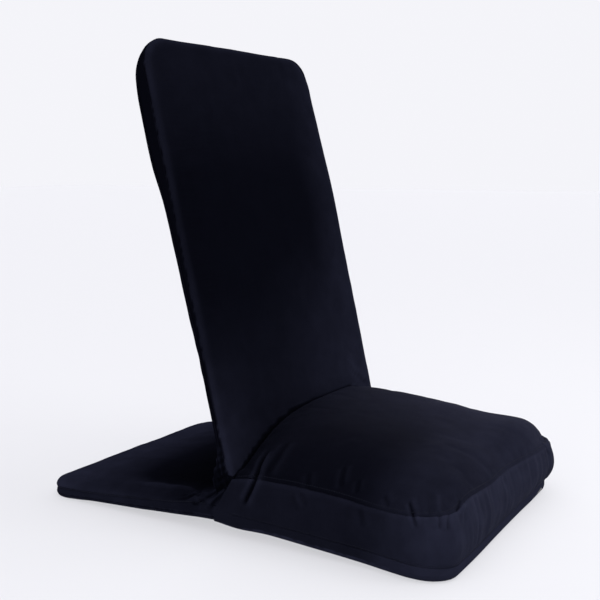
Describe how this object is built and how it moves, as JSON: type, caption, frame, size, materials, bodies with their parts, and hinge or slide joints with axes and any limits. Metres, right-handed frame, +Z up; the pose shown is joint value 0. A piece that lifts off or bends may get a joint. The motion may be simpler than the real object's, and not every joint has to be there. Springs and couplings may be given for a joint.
{
  "type": "folding floor chair",
  "caption": "Legless folding floor chair: padded back that folds on to a boxed cushion, and a flat tail behind that folds under; dark canvas over steel tube frames.",
  "frame": {"origin": "on the floor, under the middle of the chair's outline", "axes": "+Z up, -Y the way the sitter faces, +X the chair's left side as the sitter sits"},
  "size_m": [0.43, 0.6586, 0.6702],
  "materials": {
    "canvas": "plain-weave cotton canvas, near-black navy, soft sheen",
    "base_cloth": "close-woven nylon base cloth, matt",
    "foam": "open-cell foam, pale",
    "webbing": "woven elastic webbing",
    "nylon": "moulded nylon, matt",
    "zinc_steel": "zinc-plated steel",
    "zip_tape": "woven zip tape with nylon coil",
    "zip_metal": "enamelled zinc slider",
    "frame_paint": "powder-coated steel, satin black"
  },
  "bodies": {
    "seat": {"seat_cover": "canvas", "seat_foam": "foam", "seat_base_cloth": "base_cloth", "seat_frame_tube": "frame_paint", "seat_cross_tube": "frame_paint", "seat_webbing": "webbing", "seat_tube_plugs": "nylon", "hinge_bracket_left": "frame_paint", "hinge_bracket_right": "frame_paint", "bracket_rivets": "zinc_steel", "back_stop_pins": "zinc_steel", "back_pivot_bolts": "zinc_steel", "back_pivot_nuts": "zinc_steel", "back_pivot_washers": "nylon", "tail_pivot_bolts": "zinc_steel", "tail_pivot_nuts": "zinc_steel", "tail_pivot_washers": "nylon", "rear_gusset": "canvas", "hinge_flap": "canvas", "base_zip": "zip_tape", "zip_slider": "zip_metal"},
    "back": {"back_cover": "canvas", "back_frame_tube": "frame_paint", "back_cross_tube": "frame_paint", "back_webbing": "webbing", "back_foam_pad": "foam", "back_tube_plugs": "nylon", "back_pivot_bushes": "nylon"},
    "tail": {"tail_cover": "canvas", "tail_frame_tube": "frame_paint", "tail_cross_tube": "frame_paint", "tail_pad": "foam", "tail_tube_plugs": "nylon", "tail_hinge_arm_left": "frame_paint", "tail_hinge_arm_right": "frame_paint"}
  },
  "joints": [
    {"name": "back_fold", "type": "hinge", "parent": "seat", "child": "back", "pos_m": [0, -0.01512, 0.05926], "axis": [1, 0, 0], "range_deg": [0, 92], "deforming": ["seat_cover", "seat_foam", "rear_gusset"]},
    {"name": "tail_fold", "type": "hinge", "parent": "seat", "child": "tail", "pos_m": [0, 0.012, 0.0185], "axis": [-1, 0, 0], "range_deg": [0, 168], "deforming": ["hinge_flap", "rear_gusset"]}
  ]
}
